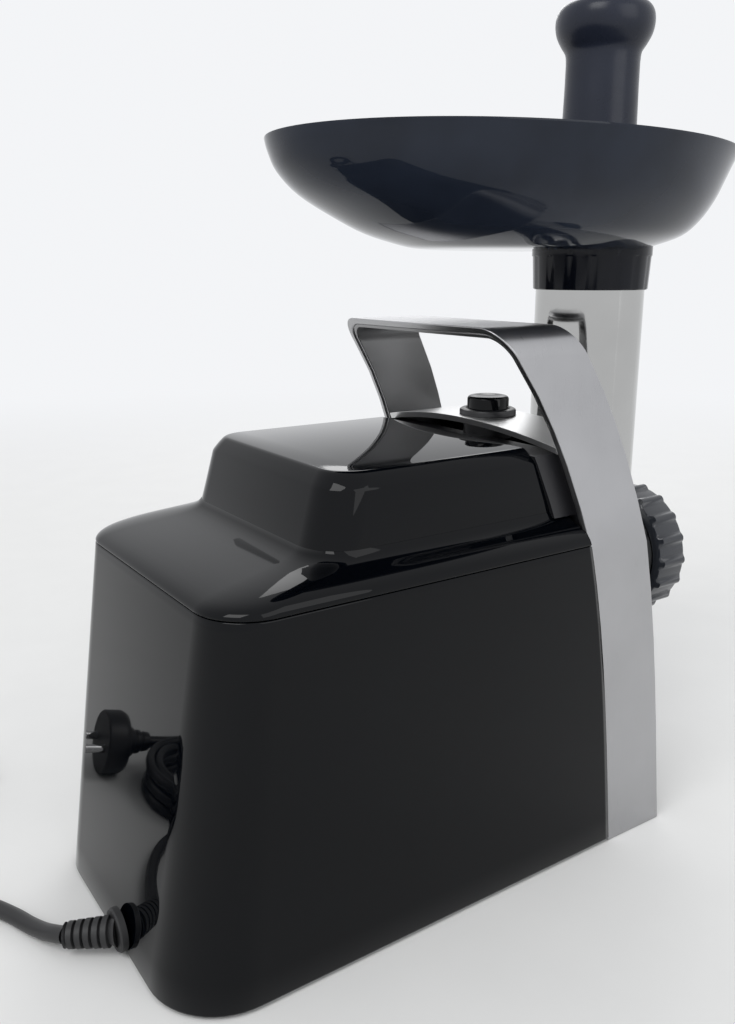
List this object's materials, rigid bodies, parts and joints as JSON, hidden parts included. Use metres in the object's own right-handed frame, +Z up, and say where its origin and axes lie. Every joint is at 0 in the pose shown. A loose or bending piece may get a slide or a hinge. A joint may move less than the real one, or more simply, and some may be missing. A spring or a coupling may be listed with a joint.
{
  "type": "electric meat grinder",
  "caption": "Electric meat grinder with a glossy black motor housing, metal hoop handle, release button, feed neck, oval tray and pusher.",
  "frame": {"origin": "on the table, under the middle of the grinder with its tray, cord left out", "axes": "-Y is the outlet at the front, +Y the rear where the cord leaves, +Z up, +X the side with the rocker switch"},
  "size_m": [0.2564, 0.4909, 0.3922],
  "materials": {
    "gloss_black": "polished, piano black",
    "matte_black": "moulded, satin",
    "satin_silver": "satin, brushed along the band",
    "polished_alloy": "polished",
    "machined_steel": "turned",
    "smoky_blue": "polished, dark slate blue",
    "collar_black": "moulded, satin",
    "rubber_black": "moulded",
    "gear_plastic": "moulded",
    "cast_alloy": "die cast",
    "bronze": "sintered",
    "laminations": "stacked sheet",
    "copper": "enamelled winding",
    "carbon": "pressed",
    "board_green": "coated laminate",
    "nut_grey": "moulded, ribbed",
    "cord_black": "extruded jacket",
    "pin_metal": "plated"
  },
  "bodies": {
    "root": {"lower_body": "gloss_black", "upper_cover": "gloss_black", "mid_frame": "matte_black", "front_panel": "matte_black", "handle_hoop": "satin_silver", "handle_liner": "satin_silver", "arch_bridge": "satin_silver", "base_plate": "matte_black", "base_screws": "machined_steel", "rubber_feet": "rubber_black", "button_bezel": "matte_black", "button_spring": "machined_steel", "lever_bracket": "machined_steel", "lever_pin": "machined_steel", "switch_frame": "matte_black", "bayonet_socket": "cast_alloy", "gearbox_case": "cast_alloy", "gearbox_cover": "cast_alloy", "output_bushes": "bronze", "idler_pin": "machined_steel", "motor_cradle": "matte_black", "stator_core": "laminations", "field_coils": "copper", "motor_bearings": "machined_steel", "end_bracket": "cast_alloy", "brush_holders": "bronze", "carbon_brushes": "carbon", "control_board": "board_green", "cord_clamp": "matte_black", "cord_gland": "rubber_black", "power_cord": "cord_black", "cord_coil": "cord_black", "cord_tie": "matte_black", "cord_tail": "cord_black", "plug_body": "cord_black", "plug_pins": "pin_metal"},
    "release_button": {"release_button": "gloss_black"},
    "latch_lever": {"latch_lever": "machined_steel"},
    "latch_plate": {"latch_plate": "machined_steel"},
    "power_rocker": {"power_rocker": "gloss_black"},
    "drive": {"output_gear": "gear_plastic", "output_shaft": "machined_steel", "feed_screw": "polished_alloy", "screw_tail": "gear_plastic", "cutting_knife": "machined_steel"},
    "idler": {"idler_gear": "gear_plastic"},
    "rotor": {"motor_pinion": "machined_steel", "armature_core": "laminations", "motor_shaft": "machined_steel", "commutator": "copper", "cooling_fan": "matte_black"},
    "head": {"head_casting": "polished_alloy", "hole_plate": "machined_steel"},
    "ring_nut": {"ring_nut": "nut_grey"},
    "tray": {"feed_tray": "smoky_blue", "tray_collar": "collar_black"},
    "pusher": {"pusher": "smoky_blue"}
  },
  "joints": [
    {"name": "button_press", "type": "slide", "parent": "root", "child": "release_button", "axis": [0, 0, -1], "range_m": [0, 0.004], "stiffness_N_per_m": 450, "springref_m": -0.004, "deforming": ["button_spring"]},
    {"name": "lever_turn", "type": "hinge", "parent": "root", "child": "latch_lever", "pos_m": [0, -0.046, 0.1725], "axis": [1, 0, 0], "range_deg": [-21, 0]},
    {"name": "latch_lift", "type": "slide", "parent": "root", "child": "latch_plate", "axis": [0, 0, 1], "range_m": [0, 0.004]},
    {"name": "rocker_tilt", "type": "hinge", "parent": "root", "child": "power_rocker", "pos_m": [0.06938, 0.057, 0.1], "axis": [0, 1, 0], "range_deg": [-12, 12]},
    {"name": "drive_spin", "type": "hinge", "parent": "root", "child": "drive", "pos_m": [0, -0.039, 0.118], "axis": [0, 1, 0], "continuous": true},
    {"name": "idler_spin", "type": "hinge", "parent": "root", "child": "idler", "pos_m": [0.036, -0.034, 0.07979], "axis": [0, 1, 0], "continuous": true},
    {"name": "rotor_spin", "type": "hinge", "parent": "root", "child": "rotor", "pos_m": [0, 0.028, 0.08], "axis": [0, 1, 0], "continuous": true},
    {"name": "head_turn", "type": "hinge", "parent": "root", "child": "head", "pos_m": [0, -0.101, 0.118], "axis": [0, 1, 0], "range_deg": [0, 40]},
    {"name": "nut_turn", "type": "hinge", "parent": "head", "child": "ring_nut", "pos_m": [0, -0.145, 0.118], "axis": [0, 1, 0], "range_deg": [-60, 0]},
    {"name": "tray_lift", "type": "slide", "parent": "head", "child": "tray", "axis": [0, 0, 1], "range_m": [0, 0.06]},
    {"name": "pusher_lift", "type": "slide", "parent": "head", "child": "pusher", "axis": [0, 0, 1], "range_m": [0, 0.19]}
  ],
  "couplings": [
    {"joint": "lever_turn", "follows": "button_press", "rad_per_m": -90.909},
    {"joint": "latch_lift", "follows": "button_press", "ratio": 1},
    {"joint": "idler_spin", "follows": "drive_spin", "ratio": -4},
    {"joint": "rotor_spin", "follows": "drive_spin", "ratio": 20}
  ]
}
